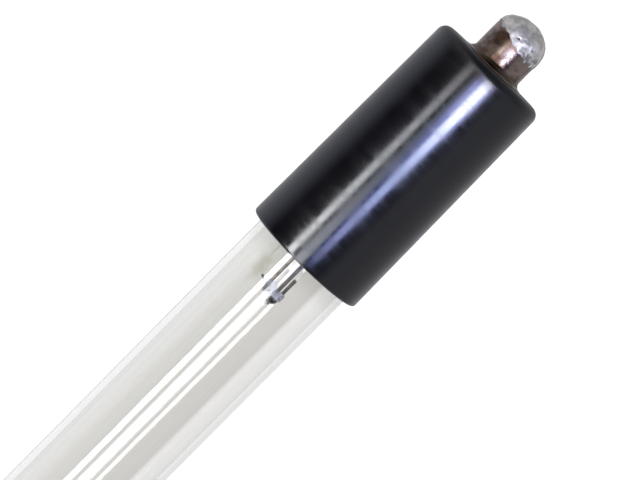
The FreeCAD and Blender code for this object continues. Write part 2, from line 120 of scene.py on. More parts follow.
def around_lamp(angle):
    """The direction at this angle around the lamp's axis, from -Y up over +Z."""
    return Vector((0.0, -math.cos(angle), math.sin(angle)))


def place_camera():
    """The camera at the photograph's viewing angle."""
    towards = (math.sin(CAMERA_ASIDE) * Vector((1, 0, 0))
               + math.cos(CAMERA_ASIDE) * around_lamp(CAMERA_RISE))
    along = Vector((1, 0, 0))
    along = (along - along.dot(towards) * towards).normalized()
    across = towards.cross(along)
    right = math.cos(LAMP_RISE_IN_PICTURE) * along - math.sin(LAMP_RISE_IN_PICTURE) * across
    up = math.sin(LAMP_RISE_IN_PICTURE) * along + math.cos(LAMP_RISE_IN_PICTURE) * across
    data = bpy.data.cameras.new("camera")
    data.sensor_width = SENSOR_WIDTH
    data.lens = SENSOR_WIDTH * CAMERA_DISTANCE / PICTURE_WIDTH_SEEN
    data.clip_start = NEAREST_SEEN
    data.clip_end = FURTHEST_SEEN
    camera = bpy.data.objects.new("camera", data)
    turn = Matrix((right, up, towards)).transposed().to_4x4()
    stand = LOOKED_AT + across * LOOKED_ABOVE + towards * CAMERA_DISTANCE
    camera.matrix_world = Matrix.Translation(stand) @ turn
    bpy.context.scene.collection.objects.link(camera)
    bpy.context.scene.camera = camera


# The two colour sockets of a node that mixes colours.
COLOUR_A, COLOUR_B = 6, 7


def feed(tree, node, inputs):
    """Gives sockets of a node, in their order or by name or number, a value, an output of
    another node, or a node, whose first output in use is then taken."""
    named = inputs if isinstance(inputs, dict) else dict(enumerate(inputs))
    for key, value in named.items():
        if isinstance(value, bpy.types.Node):
            value = next(output for output in value.outputs if output.enabled)
        if isinstance(value, bpy.types.NodeSocket):
            tree.links.new(value, node.inputs[key])
        else:
            node.inputs[key].default_value = value


def add(tree, kind, inputs=(), **settings):
    """Adds a node to the tree, with its settings and what feeds its sockets."""
    made = tree.nodes.new(kind)
    for name, value in settings.items():
        setattr(made, name, value)
    feed(tree, made, inputs)
    return made


def new_material(name):
    """A material with a Principled shader, its node tree and the object's coordinates."""
    material = bpy.data.materials.new(name)
    material.use_nodes = True
    tree = material.node_tree
    shader = tree.nodes["Principled BSDF"]
    place = add(tree, "ShaderNodeTexCoord").outputs["Object"]
    return material, tree, shader, place


def mottle(tree, place, along, across, detail=2.0, roughness=0.5):
    """Noise with this many lumps to a millimetre along the lamp and across it."""
    counted = add(tree, "ShaderNodeMapping",
                  {"Vector": place, "Scale": (along / MM, across / MM, across / MM)})
    return add(tree, "ShaderNodeTexNoise",
               {"Vector": counted, "Scale": 1.0, "Detail": detail, "Roughness": roughness})


def shaded(tree, value, first, second, low=0.0, high=1.0, most=1.0, smooth=False):
    """A colour that goes from first to second as value goes from low to high, where it
    holds the share most of the second."""
    share = add(tree, "ShaderNodeMapRange", (value, low, high, 0.0, most),
                interpolation_type="SMOOTHSTEP" if smooth else "LINEAR")
    return add(tree, "ShaderNodeMix", {0: share, COLOUR_A: first, COLOUR_B: second},
               data_type="RGBA")


def roughened(tree, shader, value, low, high, smoothest, roughest):
    """Makes the shader rougher as value goes from low to high."""
    rough = add(tree, "ShaderNodeMapRange", (value, low, high, smoothest, roughest))
    feed(tree, shader, {"Roughness": rough})


def relief(tree, shader, height, depth, under=None):
    """Gives the shader bumps of this depth in millimetres, on the ones under them."""
    inputs = {"Height": height, "Strength": 1.0, "Distance": depth * MM}
    if under is not None:
        inputs["Normal"] = under
    bump = add(tree, "ShaderNodeBump", inputs)
    feed(tree, shader, {"Normal": bump})
    return bump


def ramp(tree, value, low, high, stops):
    """A colour for each value from low to high. stops are (value, linear colour), and the
    first and the last one lie at low and at high."""
    share = add(tree, "ShaderNodeMapRange", (value, low, high, 0.0, 1.0))
    made = add(tree, "ShaderNodeValToRGB", (share,))
    points = made.color_ramp.elements
    points[0].color = [*stops[0][1], 1.0]
    points[-1].color = [*stops[-1][1], 1.0]
    for place, colour in stops[1:-1]:
        points.new((place - low) / (high - low)).color = [*colour, 1.0]
    return made


def around_x(tree, direction):
    """The angle of a direction around the lamp's axis in degrees, from -Y up over +Z."""
    split = add(tree, "ShaderNodeSeparateXYZ", (direction,))
    forward = add(tree, "ShaderNodeMath", (split.outputs["Y"], -1.0), operation="MULTIPLY")
    turn = add(tree, "ShaderNodeMath", (split.outputs["Z"], forward), operation="ARCTAN2")
    return add(tree, "ShaderNodeMath", (turn,), operation="DEGREES")


def along_lamp(tree, place):
    """How far a place lies from the middle of the lamp, along it."""
    split = add(tree, "ShaderNodeSeparateXYZ", (place,))
    return add(tree, "ShaderNodeMath", (split.outputs["X"],), operation="ABSOLUTE")


# The film on the glass by each electrode, as seen at end "a": a stain, and a thin line that
# runs from it towards the cap. For each, place along the lamp, angle around it, half its
# length and half its width.
FILMS = ((102.8, 51.0, 2.9, 1.3), (105.4, 52.5, 3.2, 0.3))
# How strong the film is, and where it starts to fade and where it is gone, counted in half
# sizes from its middle. Noise adds about half of one to that, which frays the edge.
FILM_STRENGTH = 0.85
FILM_FADES = 0.8
FILM_GONE = 1.7
# Where painted shade greys the glass towards the cap, from the middle of the lamp.
CAP_SHADE_FROM = 102.0
CAP_SHADE_TO = 107.0


def fused_quartz():
    """Fused quartz, drawn to a tube: clear and colourless, with the faint lengthwise
    lines that drawing leaves, a thin brownish film where the electrode sputters, and a
    slight grey of painted shade towards the caps."""
    material, tree, shader, place = new_material("fused_quartz")
    lines = mottle(tree, place, 0.004, 1.6, detail=3.0)
    cloud = mottle(tree, place, 0.7, 0.7, detail=3.0)
    split = add(tree, "ShaderNodeSeparateXYZ", (place,))
    reach = add(tree, "ShaderNodeMath", (split.outputs["X"],), operation="ABSOLUTE")
    end = add(tree, "ShaderNodeMath", (split.outputs["X"],), operation="SIGN")
    aside = add(tree, "ShaderNodeMath", (split.outputs["Y"], end), operation="MULTIPLY")
    at_end_a = add(tree, "ShaderNodeCombineXYZ", (reach, aside, split.outputs["Z"]))
    film = 0.0
    for along, angle, length, width in FILMS:
        middle = around_lamp(math.radians(angle)) * GLASS_RADIUS * MM
        middle.x = along * MM
        size = Vector((length, width, width)) * MM
        to_film = add(tree, "ShaderNodeVectorMath", (at_end_a, middle), operation="SUBTRACT")
        to_film = add(tree, "ShaderNodeVectorMath", (to_film, size), operation="DIVIDE")
        away = add(tree, "ShaderNodeVectorMath", (to_film,), operation="LENGTH")
        away = add(tree, "ShaderNodeMath", (away, cloud), operation="ADD")
        here = add(tree, "ShaderNodeMapRange",
                   (away, FILM_FADES, FILM_GONE, FILM_STRENGTH, 0.0),
                   interpolation_type="SMOOTHSTEP")
        film = add(tree, "ShaderNodeMath", (here, film), operation="MAXIMUM")
    colour = shaded(tree, lines, linear("#f5f5f3"), linear("#f8f7f6"), 0.35, 0.65)
    # Painted shade: the glass turns grey towards the cap.
    colour = shaded(tree, reach, colour, linear("#e7e7e5"), CAP_SHADE_FROM * MM, CAP_SHADE_TO * MM,
                    smooth=True)
    colour = shaded(tree, film, colour, linear("#ccc9b8"))
    feed(tree, shader, {"Base Color": colour, "Roughness": 0.0, "IOR": 1.458,
                        "Transmission Weight": 1.0})
    relief(tree, shader, lines, 0.002)
    # Light from outside reaches what lies in the glass, which throws only a faint shadow.
    ray = add(tree, "ShaderNodeLightPath")
    let_through = add(tree, "ShaderNodeBsdfTransparent", {"Color": linear("#ececec")})
    chosen = add(tree, "ShaderNodeMixShader",
                 (ray.outputs["Is Shadow Ray"], shader, let_through))
    feed(tree, tree.nodes["Material Output"], {"Surface": chosen})
    return material


def moulded_phenolic():
    """Black phenolic. The side is buffed on a spindle: a deep black with a gloss that fine
    rings break up, under a soft haze. The rounded edge and the face stay as they come out
    of the mould, nearly matt. The rings are drawn about three times as coarse as real
    ones, so that they show."""
    material, tree, shader, place = new_material("moulded_phenolic")
    rings = mottle(tree, place, 3.2, 0.12, detail=4.0, roughness=0.7)
    broad = mottle(tree, place, 0.6, 0.10)
    cloud = mottle(tree, place, 0.12, 0.16, detail=3.0)
    specks = mottle(tree, place, 3.0, 3.0, detail=1.0)
    edge = (FACE_PLACE - CAP_CORNER) * MM
    matt = add(tree, "ShaderNodeMapRange",
               (along_lamp(tree, place), edge - 0.2 * MM, edge + 1.2 * MM, 0.0, 1.0),
               interpolation_type="SMOOTHSTEP")
    colour = shaded(tree, cloud, linear("#030304"), linear("#060607"), 0.3, 0.7)
    streaks = add(tree, "ShaderNodeMath", (rings, broad), operation="ADD")
    buffed = add(tree, "ShaderNodeMapRange", (streaks, 0.8, 1.2, 0.14, 0.26))
    rough = add(tree, "ShaderNodeMix", {"Factor": matt, "A": buffed, "B": 0.4})
    level = add(tree, "ShaderNodeMapRange", (matt, 0.0, 1.0, 0.5, 0.28))
    haze = add(tree, "ShaderNodeMapRange", (matt, 0.0, 1.0, 0.045, 0.0))
    feed(tree, shader, {"Base Color": colour, "Roughness": rough, "IOR": 1.55,
                        "Specular IOR Level": level, "Coat Weight": haze,
                        "Coat Roughness": 0.42, "Coat IOR": 1.5})
    under = relief(tree, shader, specks, 0.002)
    relief(tree, shader, rings, 0.006, under)
    return material


def tarnished_nickel():
    """Nickel plate on turned brass, tarnished by heat: a brown metal, with turning marks
    around it and the sheen of a thin oxide. Painted shade darkens the flare."""
    material, tree, shader, place = new_material("tarnished_nickel")
    blotch = mottle(tree, place, 0.45, 0.35, detail=4.0, roughness=0.6)
    red = mottle(tree, place, 0.9, 0.5)
    marks = mottle(tree, place, 7.0, 0.5, detail=3.0)
    pitting = mottle(tree, place, 3.5, 3.5, detail=3.0)
    colour = shaded(tree, blotch, linear("#5c4b40"), linear("#96877f"), 0.38, 0.64,
                    smooth=True)
    colour = shaded(tree, red, colour, linear("#6c5040"), 0.55, 0.75, 0.7, smooth=True)
    height = add(tree, "ShaderNodeMath", (along_lamp(tree, place), FACE_PLACE * MM),
                 operation="SUBTRACT")
    # Painted shade in the crease of the flare, at the foot of the contact: strongest just above
    # the flange, eased off at the flange's rim, gone by the top of the flare, and patchy with
    # the tarnish. It also makes the metal rougher there.
    flare_shade = add(tree, "ShaderNodeMapRange", (height, 0.5 * MM, 1.25 * MM, 1.0, 0.0),
               interpolation_type="SMOOTHSTEP")
    rim = add(tree, "ShaderNodeMapRange", (height, 0.15 * MM, 0.4 * MM, 0.35, 1.0),
              interpolation_type="SMOOTHSTEP")
    patches = add(tree, "ShaderNodeMapRange", (blotch, 0.3, 0.7, 0.7, 1.0))
    for share in (rim, patches):
        flare_shade = add(tree, "ShaderNodeMath", (flare_shade, share), operation="MULTIPLY")
    # The dark brown of the painted shade.
    colour = shaded(tree, flare_shade, colour, linear("#56493c"))
    sheen = add(tree, "ShaderNodeMapRange", (blotch, 0.3, 0.7, 0.12, 0.22))
    dulled = add(tree, "ShaderNodeMapRange", (flare_shade, 0.0, 1.0, 0.0, 0.22))
    rough = add(tree, "ShaderNodeMath", (sheen, dulled), operation="ADD")
    feed(tree, shader, {"Base Color": colour, "Metallic": 1.0, "Roughness": rough})
    under = relief(tree, shader, pitting, 0.012)
    relief(tree, shader, marks, 0.006, under)
    return material


def dipped_solder():
    """Tin-lead solder, dipped and left to set: a dull grey with a grainy, lumpy skin,
    darker where oxide stays in the hollows, and stained olive by flux along its edge."""
    material, tree, shader, place = new_material("dipped_solder")
    lumps = mottle(tree, place, 0.8, 0.8, detail=5.0, roughness=0.6)
    hollows = mottle(tree, place, 1.7, 1.7)
    flux = mottle(tree, place, 1.1, 1.3, detail=3.0)
    grain = mottle(tree, place, 4.0, 4.0, detail=3.0, roughness=0.7)
    colour = shaded(tree, lumps, linear("#b4b2ab"), linear("#dbd8cf"), 0.36, 0.6, smooth=True)
    colour = shaded(tree, hollows, colour, linear("#77736d"), 0.62, 0.76, 0.6, smooth=True)
    face = FACE_PLACE * MM
    low = add(tree, "ShaderNodeMapRange",
              (along_lamp(tree, place), face + 3.8 * MM, face + 6.2 * MM, 1.0, 0.0),
              interpolation_type="SMOOTHSTEP")
    flux = add(tree, "ShaderNodeMapRange", (flux, 0.42, 0.58, 0.0, 0.85),
               interpolation_type="SMOOTHSTEP")
    stained = add(tree, "ShaderNodeMath", (low, flux), operation="MULTIPLY")
    colour = shaded(tree, stained, colour, linear("#6a6656"))
    feed(tree, shader, {"Base Color": colour, "Metallic": 0.85})
    roughened(tree, shader, grain, 0.3, 0.7, 0.38, 0.6)
    under = relief(tree, shader, lumps, 0.07)
    relief(tree, shader, grain, 0.03, under)
    return material


def basing_cement():
    """Basing cement, baked hard: off-white, matt and chalky, with sandy grains."""
    material, tree, shader, place = new_material("baked_basing_cement")
    sand = mottle(tree, place, 3.0, 3.0, detail=4.0, roughness=0.7)
    colour = shaded(tree, sand, linear("#c2b8a2"), linear("#ded7c6"))
    feed(tree, shader, {"Base Color": colour, "Roughness": 0.85})
    relief(tree, shader, sand, 0.05)
    return material


def zinc_plated_steel():
    """Steel sheet, stamped and zinc plated: light grey with a faint spangle."""
    material, tree, shader, place = new_material("zinc_plated_steel")
    per_metre = 1.2 / MM
    counted = add(tree, "ShaderNodeMapping",
                  {"Vector": place, "Scale": (per_metre, per_metre, per_metre)})
    spangle = add(tree, "ShaderNodeTexVoronoi", {"Vector": counted, "Scale": 1.0})
    colour = shaded(tree, spangle, linear("#a9abad"), linear("#d0d1d0"))
    feed(tree, shader, {"Base Color": colour, "Metallic": 1.0})
    roughened(tree, shader, spangle, 0.0, 0.7, 0.3, 0.45)
    return material


def drawn_nickel(name, oxidised, clean, smoothest, roughest):
    """Nickel wire, drawn and dulled by the seal's heat: grey with a bright core, fine draw
    lines along it and darker patches of oxide. The two colours are those of the oxide and
    of the metal between the patches, and the two numbers are roughnesses."""
    material, tree, shader, place = new_material(name)
    lines = mottle(tree, place, 0.3, 14.0)
    oxide = mottle(tree, place, 1.2, 1.2, detail=3.0)
    colour = shaded(tree, oxide, linear(oxidised), linear(clean), 0.35, 0.65, smooth=True)
    feed(tree, shader, {"Base Color": colour, "Metallic": 1.0})
    roughened(tree, shader, lines, 0.3, 0.7, smoothest, roughest)
    relief(tree, shader, lines, 0.001)
    return material


def pressed_nickel():
    """Nickel sheet, pressed flat around the leads: light grey, with a faint blue of heat
    and small dents from the pliers."""
    material, tree, shader, place = new_material("pressed_nickel_sheet")
    heat = mottle(tree, place, 0.8, 0.8)
    dents = mottle(tree, place, 1.6, 1.6, detail=1.0)
    colour = shaded(tree, heat, linear("#a8a7ad"), linear("#cfced2"), 0.35, 0.65, smooth=True)
    feed(tree, shader, {"Base Color": colour, "Metallic": 0.86})
    roughened(tree, shader, dents, 0.3, 0.7, 0.25, 0.4)
    relief(tree, shader, dents, 0.03)
    return material


def rolled_molybdenum():
    """Molybdenum foil, rolled: a cool grey with fine rolling lines along it."""
    material, tree, shader, place = new_material("rolled_molybdenum")
    lines = mottle(tree, place, 0.2, 9.0, detail=3.0)
    colour = shaded(tree, lines, linear("#6e7076"), linear("#a3a5ab"))
    feed(tree, shader, {"Base Color": colour, "Metallic": 1.0})
    roughened(tree, shader, lines, 0.3, 0.7, 0.22, 0.38)
    relief(tree, shader, lines, 0.003)
    return material


def oxide_coating():
    """Alkaline earth oxides, sprayed on the tungsten coil and fired: white and powdery,
    with grey places where the tungsten shows. The tails of the coil are bare."""
    material, tree, shader, place = new_material("fired_oxide_coating")
    powder = mottle(tree, place, 5.0, 5.0, detail=3.0)
    worn = mottle(tree, place, 1.6, 1.6)
    colour = shaded(tree, powder, linear("#b4b0a8"), linear("#dcd9d3"))
    split = add(tree, "ShaderNodeSeparateXYZ", (place,))
    aside = add(tree, "ShaderNodeMath", (split.outputs["Y"],), operation="ABSOLUTE")
    tail = add(tree, "ShaderNodeMapRange", (aside, 1.5 * MM, 1.8 * MM, 0.0, 1.0))
    worn = add(tree, "ShaderNodeMapRange", (worn, 0.5, 0.62, 0.0, 0.9),
               interpolation_type="SMOOTHSTEP")
    bare = add(tree, "ShaderNodeMath", (worn, tail), operation="MAXIMUM")
    colour = shaded(tree, bare, colour, linear("#454446"))
    feed(tree, shader, {"Base Color": colour, "Roughness": 0.75})
    relief(tree, shader, powder, 0.03)
    return material


def liquid_mercury():
    """Mercury: a bright liquid mirror, with a faint skin of oxide."""
    material, tree, shader, place = new_material("liquid_mercury")
    skin = mottle(tree, place, 1.5, 1.5)
    colour = shaded(tree, skin, linear("#c9cacc"), linear("#dedfe0"))
    feed(tree, shader, {"Base Color": colour, "Metallic": 1.0})
    roughened(tree, shader, skin, 0.4, 0.7, 0.03, 0.12)
    return material


def arc(centre_x, centre_r, radius, start, stop, steps):
    """Points (x, r) along an arc. Angles are in degrees, from +x towards +r."""
    angles = np.radians(np.linspace(start, stop, steps + 1))
    return [(centre_x + radius * math.cos(a), centre_r + radius * math.sin(a)) for a in angles]


def evenly(start, stop, steps):
    """Points on the straight line from start to stop, both ends left out."""
    shares = [step / steps for step in range(1, steps)]
    return [(start[0] + (stop[0] - start[0]) * s, start[1] + (stop[1] - start[1]) * s)
            for s in shares]


def to_end(points, end):
    """Points of an end's frame, in millimetres, as places on the lamp, in metres."""
    points = np.asarray(points, float) + (FACE_PLACE, 0.0, 0.0)
    if end == "b":
        points = points * (-1.0, -1.0, 1.0)
    return points * MM


def turn_outwards(mesh):
    """Turns the faces of a closed mesh outwards."""
    work = bmesh.new()
    work.from_mesh(mesh)
    bmesh.ops.recalc_face_normals(work, faces=work.faces)
    work.to_mesh(mesh)
    work.free()


def new_piece(name, points, faces, material, stands_for, sharp=30.0, hollow=False):
    """A finished mesh piece that stands for nodes of the frame. Edges sharper than the
    given number of degrees stay sharp. The faces of a hollow piece already face the air
    on both sides of its wall."""
    mesh = bpy.data.meshes.new(name)
    mesh.from_pydata([tuple(p) for p in points], [], faces)
    mesh.validate()
    if not hollow:
        turn_outwards(mesh)
    mesh.shade_smooth()
    mesh.set_sharp_from_angle(angle=math.radians(sharp))
    mesh.materials.append(material)
    piece = bpy.data.objects.new(name, mesh)
    bpy.context.scene.collection.objects.link(piece)
    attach(piece, "root")
    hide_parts(*stands_for)
    return piece


def turned(rows, sides):
    """Points and faces of a piece turned about X. rows are the (x, r) of its rings. The
    last one joins the first."""
    angles = np.linspace(0.0, 2 * math.pi, sides, endpoint=False)
    points = []
    for x, r in rows:
        points += list(zip(np.full(sides, x), -r * np.cos(angles), r * np.sin(angles)))
    faces = []
    count = len(rows)
    for row in range(count):
        below, above = row * sides, (row + 1) % count * sides
        for side in range(sides):
            ahead = (side + 1) % sides
            faces.append((below + side, below + ahead, above + ahead, above + side))
    return points, faces


CAP_SIDES = 256


def end_cap(end, material):
    """The moulded cup: drafted side, rounded corner and mouth, floor with a hole."""
    face_radius = MOUTH_RADIUS - CAP_LENGTH * CAP_DRAFT
    corner = (-CAP_CORNER, face_radius - CAP_CORNER)
    mouth = (-CAP_LENGTH + MOUTH_ROUNDING, MOUTH_RADIUS - MOUTH_ROUNDING)
    inner = (-CAP_LENGTH + BORE_ROUNDING, CAP_BORE + BORE_ROUNDING)
    fillet = (-CAP_FLOOR - FLOOR_FILLET, CAP_BORE - FLOOR_FILLET)
    side_start = (corner[0], face_radius)
    side_end = (mouth[0], MOUTH_RADIUS)
    outline = [(0.0, CAP_HOLE), (0.0, (CAP_HOLE + corner[1]) / 2)]
    outline += arc(*corner, CAP_CORNER, 0, 90, steps=14)
    outline += evenly(side_start, side_end, steps=24)
    outline += arc(*mouth, MOUTH_ROUNDING, 90, 180, steps=10)
    outline += arc(*inner, BORE_ROUNDING, 180, 270, steps=8)
    outline += [(fillet[0], CAP_BORE)]
    outline += arc(*fillet, FLOOR_FILLET, 90, 0, steps=6)
    outline += [(-CAP_FLOOR, CAP_HOLE)]
    points, faces = turned(outline, CAP_SIDES)
    return new_piece(f"cap_{end}", to_end(points, end), faces, material,
                     [f"end_cap_{end}"])


CONTACT_SIDES = 160
CREASE_HEIGHT = 0.5
CREASE_SIZE = 0.05
CREASE_WIDTH = 0.07
FLARE_STEPS = 24
# Under the solder the crown first follows the dome in steps of this length, and sinks in
# by this much more at each of them.
CROWN_STEPS = 7
CROWN_STEP = 0.2
CROWN_SINK = 0.02
# The top of the crown, and the hole for the lead down to the bore, as (height over the
# cap's face, radius).
CROWN = ((6.2, 3.2), (7.0, 2.2), (7.3, 2.0), (7.3, LEAD_HOLE), (6.4, LEAD_HOLE),
         (5.4, CONTACT_BORE))


def contact(end, material):
    """The turned contact: flange, flare, barrel and crown, and the hollow shank with the
    rim rolled over inside the cap. A fine crease runs around the flare."""
    outline = [(SHANK_END, CONTACT_BORE), (SHANK_END, RIM_RADIUS)]
    outline += arc(SHANK_END + RIM_ROUNDING, RIM_RADIUS, RIM_ROUNDING, 90, 0, steps=5)
    outline += [(RIM_START, RIM_RADIUS + RIM_FOOT), (RIM_START, SHANK_RADIUS)]
    outline += [(0.0, SHANK_RADIUS)]
    outline += arc(0.0, FLANGE_RADIUS - FLANGE_EDGE, FLANGE_EDGE, 90, 30, steps=8)
    rim_x, rim_r = outline[-1]
    run = FLARE_HEIGHT - rim_x
    drop = rim_r - BARREL_RADIUS
    for step in range(1, FLARE_STEPS + 1):
        share = step / FLARE_STEPS
        off_crease = (share * run + rim_x - CREASE_HEIGHT) / CREASE_WIDTH
        bulge = CREASE_SIZE * math.exp(-off_crease ** 2)
        bend = 1 - math.sqrt(1 - (1 - share) ** 2)
        outline.append((rim_x + run * share, BARREL_RADIUS + drop * bend + bulge))
    outline += evenly((FLARE_HEIGHT, BARREL_RADIUS), (DOME_START, BARREL_RADIUS), steps=20)
    for step in range(CROWN_STEPS):
        x, r = solder_outline(dome_length() - step * CROWN_STEP)[:2]
        outline.append((x, r - CROWN_SINK * (1 + step)))
    outline += CROWN
    points, faces = turned(outline, CONTACT_SIDES)
    wobble(points, depth=0.02, per_mm=0.8)
    return new_piece(f"contact_metal_{end}", to_end(points, end), faces, material,
                     [f"contact_{end}"], sharp=50.0)


def wobble(points, depth, per_mm):
    """Moves each point along its own radius by up to depth, as an uneven surface."""
    for index, (x, y, z) in enumerate(points):
        radius = math.hypot(y, z)
        grow = 1 + depth * noise.noise(Vector((x, y, z)) * per_mm) / radius
        points[index] = (x, y * grow, z * grow)


SOLDER_SIDES = 240
SOLDER_ROWS = 80
# Thickness of the solder away from its edge, and how far its underside stays below the
# outline of the tip.
SOLDER_SKIN = 0.3
SOLDER_UNDER = 0.05
# The skin's lumps: depth, and how many there are to a millimetre.
SOLDER_LUMPS = ((0.08, 0.8), (0.05, 2.2))
# The lip along the lower edge: how far it stands out, over which shares of the length from
# the top it rises, how far it tucks in at the edge, and the shares of the length over
# which the edge rounds off and the skin thins out.
SOLDER_LIP = 0.06
LIP_START = 0.6
LIP_RUN = 0.3
LIP_TUCK = 0.04
EDGE_RUN = 0.05
SKIN_RUN = 0.3
# Pits in the solder: height over the cap's face, degrees around the lamp, radius, depth.
PITS = (
    (5.35, 30.0, 0.17, 0.16),
    (5.5, -8.0, 0.20, 0.16),
    (4.7, -14.0, 0.16, 0.10),
    (6.4, 62.0, 0.26, 0.08),
    (5.9, 118.0, 0.24, 0.14),
    (5.6, 186.0, 0.20, 0.16),
    (6.0, 247.0, 0.24, 0.12),
    (7.2, 300.0, 0.30, 0.10),
)
# The solder's lower edge: its mean height over the cap's face, how much higher it lies on
# one side and the angle there, the depth and turn of its two lobes, and its waves, each
# as depth, radius of the circle on which the noise is read, and a seed.
EDGE_HEIGHT = 4.2
EDGE_LEAN = 1.0
EDGE_HIGH_AT = math.radians(100)
EDGE_LOBES = 0.3
LOBES_TURN = 2.6
EDGE_WAVES = ((0.7, 2.1, 4.0), (0.35, 7.0, 9.0))


def dome_runs():
    """Lengths of the two arcs of the dome's outline, then the radius of the crown and the
    angle at which they meet."""
    height = CONTACT_HEIGHT - DOME_START
    spare = BARREL_RADIUS ** 2 + height ** 2 - 2 * BARREL_RADIUS * DOME_SHOULDER
    crown = spare / (2 * (height - DOME_SHOULDER))
    meeting = math.atan2(BARREL_RADIUS - DOME_SHOULDER, crown - height)
    return (crown * meeting, DOME_SHOULDER * (math.pi / 2 - meeting)), (crown, meeting)


def dome_length():
    """Length of the dome's outline, from its top to the barrel."""
    return sum(dome_runs()[0])


def solder_outline(length):
    """Place (x, r) on the tip's outline at this length from its top, and the angle of its
    normal from +x. Past the dome it runs down the barrel."""
    (crown_run, shoulder_run), (crown, meeting) = dome_runs()
    if length <= crown_run:
        turn = length / crown
        return CONTACT_HEIGHT - crown + crown * math.cos(turn), crown * math.sin(turn), turn
    turn = meeting + (length - crown_run) / DOME_SHOULDER
    if turn <= math.pi / 2:
        return (DOME_START + DOME_SHOULDER * math.cos(turn),
                BARREL_RADIUS - DOME_SHOULDER + DOME_SHOULDER * math.sin(turn), turn)
    return DOME_START - (length - crown_run - shoulder_run), BARREL_RADIUS, math.pi / 2


def skirt(angle):
    """Height over the cap's face at which the solder ends, around the contact."""
    height = EDGE_HEIGHT + EDGE_LEAN * math.cos(angle - EDGE_HIGH_AT)
    height += EDGE_LOBES * math.cos(2 * angle + LOBES_TURN)
    for depth, radius, seed in EDGE_WAVES:
        spot = Vector((radius * math.cos(angle), radius * math.sin(angle), seed))
        height += depth * noise.noise(spot)
    return height


def lumps_and_pits(x, r, angle):
    """How far the solder's skin stands out here."""
    spot = Vector((x, r * math.cos(angle), r * math.sin(angle)))
    depth = sum(size * noise.noise(spot * per_mm) for size, per_mm in SOLDER_LUMPS)
    for height, around, size, sink in PITS:
        aside = (angle - math.radians(around) + math.pi) % (2 * math.pi) - math.pi
        away = math.hypot(x - height, aside * max(r, 1.0))
        depth -= sink * math.exp(-(away / size) ** 2)
    return depth


def solder_tip(end, material):
    """Solder over the crown. Its lower edge runs unevenly over the barrel, and its skin
    is lumpy and pitted."""
    angles = np.linspace(0.0, 2 * math.pi, SOLDER_SIDES, endpoint=False)
    outer, inner = [], []
    for row in range(1, SOLDER_ROWS + 1):
        share = row / SOLDER_ROWS
        near_edge = max(0.0, (share - (1 - EDGE_RUN)) / EDGE_RUN)
        lip = math.sqrt(max(0.0, 1 - near_edge ** 2))
        raised = SOLDER_LIP * max(0.0, min(1.0, (share - LIP_START) / LIP_RUN))
        skin = SOLDER_SKIN * min(1.0, (1 - share) / SKIN_RUN)
        for angle in angles:
            length = share * (dome_length() + DOME_START - skirt(angle))
            x, r, turn = solder_outline(length)
            depth = (lumps_and_pits(x, r, angle) + raised) * lip - LIP_TUCK * (1 - lip)
            outer.append(spot_at(x, r, turn, depth, angle))
            inner.append(spot_at(x, r, turn, min(depth, -SOLDER_UNDER) - skin, angle))
    tip = (CONTACT_HEIGHT, 0.0, 0.0)
    under = (CONTACT_HEIGHT - SOLDER_SKIN - SOLDER_UNDER, 0.0, 0.0)
    sides, rows = SOLDER_SIDES, SOLDER_ROWS
    rings = outer + [inner[(rows - 1 - row) * sides + side]
                     for row in range(rows) for side in range(sides)]
    points = [tip] + rings + [under]
    faces = [(0, 1 + side, 1 + (side + 1) % sides) for side in range(sides)]
    for row in range(2 * rows - 1):
        upper, lower = 1 + row * sides, 1 + (row + 1) * sides
        for side in range(sides):
            ahead = (side + 1) % sides
            faces.append((upper + side, lower + side, lower + ahead, upper + ahead))
    last = len(points) - 1
    for side in range(sides):
        faces.append((last - sides + side, last, last - sides + (side + 1) % sides))
    return new_piece(f"solder_{end}", to_end(points, end), faces, material,
                     [f"solder_tip_{end}"], sharp=60.0)


def spot_at(x, r, turn, depth, angle):
    """A point of a turned surface, moved along its normal. It stays inside the contact's
    own length."""
    x = min(x + depth * math.cos(turn), CONTACT_HEIGHT)
    r = max(r + depth * math.sin(turn), 0.0)
    return x, -r * math.cos(angle), r * math.sin(angle)


GLASS_SIDES = 256
TUBE_STEPS = 40
PRESS_STEPS = 24
FLAT_STEPS = 8
CLOSE_STEPS = 5
OVAL_TURN = math.cos(math.radians(72))


def oval(half_length, radius):
    """A ring of (y, z) points: a circle, drawn out to a flat oval by half_length."""
    angles = np.linspace(0.0, 2 * math.pi, GLASS_SIDES, endpoint=False)
    cosines = np.cos(angles)
    return (-(half_length * np.clip(cosines / OVAL_TURN, -1, 1) + radius * cosines),
            radius * np.sin(angles))


def eased(share):
    """A share from 0 to 1 that starts and stops gently."""
    return share * share * (3 - 2 * share)


def glass_end(radius, flat_width, flat_height, far, close):
    """Rings of one end, from the round tube outwards, as (x, half length, radius). The
    flat part ends at far, with its edge rounded off by close."""
    flat_radius = flat_height / 2
    flat_length = flat_width / 2 - flat_radius
    rings = []
    for step in range(1, PRESS_STEPS + 1):
        share = step / PRESS_STEPS
        pressed = eased(share)
        x = -(PINCH_ROOT + PRESS_LENGTH) + PRESS_LENGTH * share
        rings.append((x, flat_length * pressed, radius + (flat_radius - radius) * pressed))
    if far > -PINCH_ROOT:
        for step in range(1, FLAT_STEPS + 1):
            x = -PINCH_ROOT + (far - close + PINCH_ROOT) * step / FLAT_STEPS
            rings.append((x, flat_length, flat_radius))
    for step in range(1, CLOSE_STEPS + 1):
        turn = math.radians(90 * step / CLOSE_STEPS)
        inset = close * (1 - math.cos(turn))
        rings.append((far - close + close * math.sin(turn), flat_length, flat_radius - inset))
    return rings


